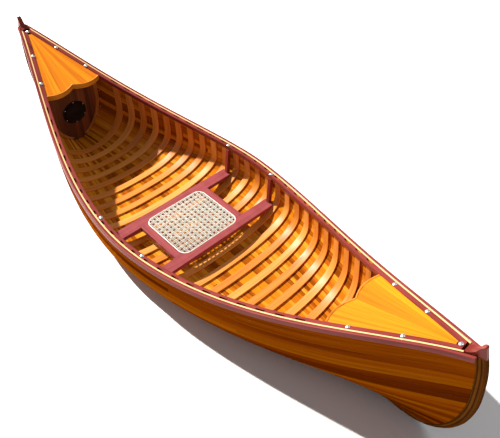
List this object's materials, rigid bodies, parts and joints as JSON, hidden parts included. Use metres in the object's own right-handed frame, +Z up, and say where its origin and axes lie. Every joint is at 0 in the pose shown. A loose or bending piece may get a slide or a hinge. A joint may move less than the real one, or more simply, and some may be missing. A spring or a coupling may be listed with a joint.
{
  "type": "canoe",
  "caption": "Open wooden canoe with strip planking over flat bent ribs, fitted decks, end bulkheads with round hatches and a hung caned seat.",
  "frame": {"origin": "under the middle of the keel strip, on the surface the canoe stands on", "axes": "+X along the length to the bow, +Y to port, +Z up"},
  "size_m": [2.9702, 0.8018, 0.5957],
  "materials": {
    "cedar_planking": "mixed light and dark cedar strips under gloss varnish",
    "cedar_ribs": "light cedar under satin varnish",
    "mahogany_trim": "oiled and varnished mahogany",
    "cedar_decks": "golden cedar planks under gloss varnish",
    "deck_coaming_wood": "bent cedar, varnished",
    "laminated_stem_wood": "laminated ash and cedar, varnished",
    "bulkhead_cedar": "dark red cedar staves, varnished",
    "bulkhead_border_cedar": "light cedar slats, varnished",
    "seat_mahogany": "varnished mahogany",
    "seat_caning": "woven natural cane",
    "stainless_bolts": "polished stainless",
    "small_stainless_screws": "stainless",
    "brass_inserts": "turned",
    "hatch_plastic": "black, fine texture",
    "hatch_seal_rubber": "smooth"
  },
  "bodies": {
    "hull": {"bow_bulkhead": "bulkhead_cedar", "bow_deck": "cedar_decks", "bow_hatch_ring": "hatch_plastic", "bow_outer_stem": "laminated_stem_wood", "bow_stem_cap": "mahogany_trim", "bulkhead_borders": "bulkhead_border_cedar", "deck_bolts": "stainless_bolts", "deck_coamings": "deck_coaming_wood", "hatch_ring_screws": "small_stainless_screws", "inner_stems": "laminated_stem_wood", "inwale_port": "mahogany_trim", "inwale_starboard": "mahogany_trim", "keel_strip": "cedar_planking", "outwale_port": "mahogany_trim", "outwale_starboard": "mahogany_trim", "planking_port": "cedar_planking", "planking_screws": "small_stainless_screws", "planking_starboard": "cedar_planking", "rib_01": "cedar_ribs", "rib_02": "cedar_ribs", "rib_03": "cedar_ribs", "rib_04": "cedar_ribs", "rib_05": "cedar_ribs", "rib_06": "cedar_ribs", "rib_07": "cedar_ribs", "rib_08": "cedar_ribs", "rib_09": "cedar_ribs", "rib_10": "cedar_ribs", "rib_11": "cedar_ribs", "rib_12": "cedar_ribs", "rib_13": "cedar_ribs", "rib_14": "cedar_ribs", "rib_15": "cedar_ribs", "rib_16": "cedar_ribs", "rib_17": "cedar_ribs", "rib_18": "cedar_ribs", "rib_19": "cedar_ribs", "rib_20": "cedar_ribs", "rib_21": "cedar_ribs", "rib_22": "cedar_ribs", "rib_23": "cedar_ribs", "rib_24": "cedar_ribs", "seat_aft_crossbar": "seat_mahogany", "seat_cane": "seat_caning", "seat_cane_spline": "seat_caning", "seat_forward_crossbar": "seat_mahogany", "seat_hanger_bolts": "stainless_bolts", "seat_hanger_posts": "seat_mahogany", "seat_port_rail": "seat_mahogany", "seat_starboard_rail": "seat_mahogany", "seat_threaded_inserts": "brass_inserts", "stern_bulkhead": "bulkhead_cedar", "stern_deck": "cedar_decks", "stern_hatch_ring": "hatch_plastic", "stern_outer_stem": "laminated_stem_wood", "stern_stem_cap": "mahogany_trim"},
    "bow_hatch_seal_ring": {"bow_hatch_seal": "hatch_seal_rubber"},
    "bow_hatch_cover": {"bow_hatch_lid": "hatch_plastic"},
    "stern_hatch_seal_ring": {"stern_hatch_seal": "hatch_seal_rubber"},
    "stern_hatch_cover": {"stern_hatch_lid": "hatch_plastic"}
  },
  "joints": [
    {"name": "bow_hatch_pull", "type": "slide", "parent": "hull", "child": "bow_hatch_seal_ring", "axis": [-1, 0, 0], "range_m": [0, 0.06]},
    {"name": "bow_hatch_turn", "type": "hinge", "parent": "bow_hatch_seal_ring", "child": "bow_hatch_cover", "pos_m": [1.008, 0, 0.188], "axis": [-1, 0, 0], "range_deg": [0, 90]},
    {"name": "stern_hatch_pull", "type": "slide", "parent": "hull", "child": "stern_hatch_seal_ring", "axis": [1, 0, 0], "range_m": [0, 0.06]},
    {"name": "stern_hatch_turn", "type": "hinge", "parent": "stern_hatch_seal_ring", "child": "stern_hatch_cover", "pos_m": [-1.008, 0, 0.188], "axis": [1, 0, 0], "range_deg": [0, 90]}
  ]
}
